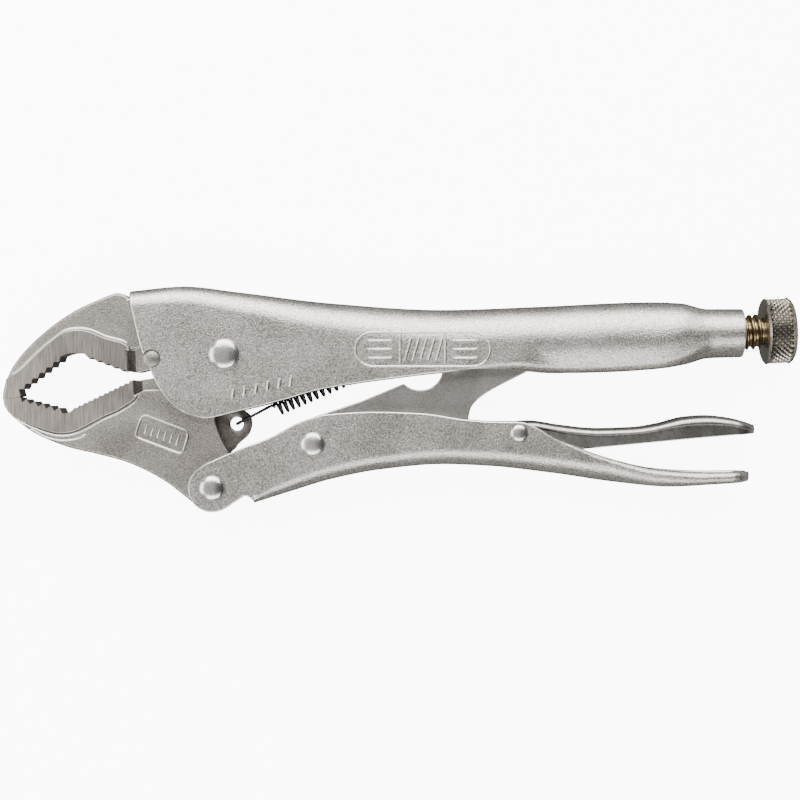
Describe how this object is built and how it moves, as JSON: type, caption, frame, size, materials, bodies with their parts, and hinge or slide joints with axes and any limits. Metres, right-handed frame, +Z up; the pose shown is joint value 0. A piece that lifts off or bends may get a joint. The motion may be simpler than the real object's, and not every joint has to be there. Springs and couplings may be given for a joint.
{
  "type": "locking pliers",
  "caption": "Curved-jaw locking pliers lying on one side: pressed handles, toggle link, release lever, jaw spring and a knurled adjusting screw; the jaws and handle open.",
  "frame": {"origin": "centre of the tool's bounding box on the surface it lies on, the tool lying on one side", "axes": "+X from the jaw tips to the adjusting knob, +Z up along every rivet, +Y from the lower handle to the upper handle"},
  "size_m": [0.2556, 0.0727, 0.0216],
  "materials": {
    "satin_nickel": "fine blasted nickel plate",
    "forged_jaw": "fine blasted forged steel with ground gripping pads",
    "dark_nickel": "fine blasted nickel plate, darker",
    "lever_nickel": "smooth nickel plate",
    "yellow_zinc": "yellow zinc plate on a cut thread",
    "knob_nickel": "nickel plate over a diamond knurl",
    "black_wire": "black oxide spring wire",
    "polished_rivet": "polished nickel domes"
  },
  "bodies": {
    "upper_frame": {"upper_handle": "satin_nickel", "fixed_jaw": "forged_jaw", "main_pivot_rivet": "polished_rivet", "jaw_spring": "black_wire"},
    "moving_jaw": {"movable_jaw": "forged_jaw"},
    "lower_grip": {"lower_handle": "satin_nickel", "jaw_handle_rivet": "polished_rivet", "link_rivet": "polished_rivet", "lever_pin": "polished_rivet"},
    "link": {"toggle_link": "dark_nickel"},
    "lever": {"release_lever": "lever_nickel"},
    "screw": {"adjusting_screw": "yellow_zinc"},
    "knob": {"adjusting_knob": "knob_nickel"}
  },
  "joints": [
    {"name": "jaw_hinge", "type": "hinge", "parent": "upper_frame", "child": "moving_jaw", "pos_m": [-0.056, 0.0143, 0.0108], "axis": [0, 0, 1], "range_deg": [0, 16], "deforming": ["jaw_spring"]},
    {"name": "handle_hinge", "type": "hinge", "parent": "moving_jaw", "child": "lower_grip", "pos_m": [-0.0599, -0.0286, 0.0108], "axis": [0, 0, 1], "range_deg": [-56, 0]},
    {"name": "link_hinge", "type": "hinge", "parent": "lower_grip", "child": "link", "pos_m": [-0.0277, -0.0145, 0.0108], "axis": [0, 0, 1], "range_deg": [0, 57]},
    {"name": "lever_hinge", "type": "hinge", "parent": "lower_grip", "child": "lever", "pos_m": [0.0383, -0.011, 0.0108], "axis": [0, 0, 1], "range_deg": [-5, 3]},
    {"name": "screw_slide", "type": "slide", "parent": "upper_frame", "child": "screw", "axis": [0.999, 0.0436, 0], "range_m": [0, 0.02]},
    {"name": "knob_turn", "type": "hinge", "parent": "screw", "child": "knob", "pos_m": [0.1047, 0.02125, 0.0108], "axis": [0.999, 0.0436, 0], "range_deg": [0, 3430]}
  ],
  "couplings": [
    {"joint": "handle_hinge", "follows": "jaw_hinge", "ratio": -3.5},
    {"joint": "link_hinge", "follows": "jaw_hinge", "ratio": 3.5625},
    {"joint": "knob_turn", "follows": "screw_slide", "rad_per_m": 2992}
  ]
}
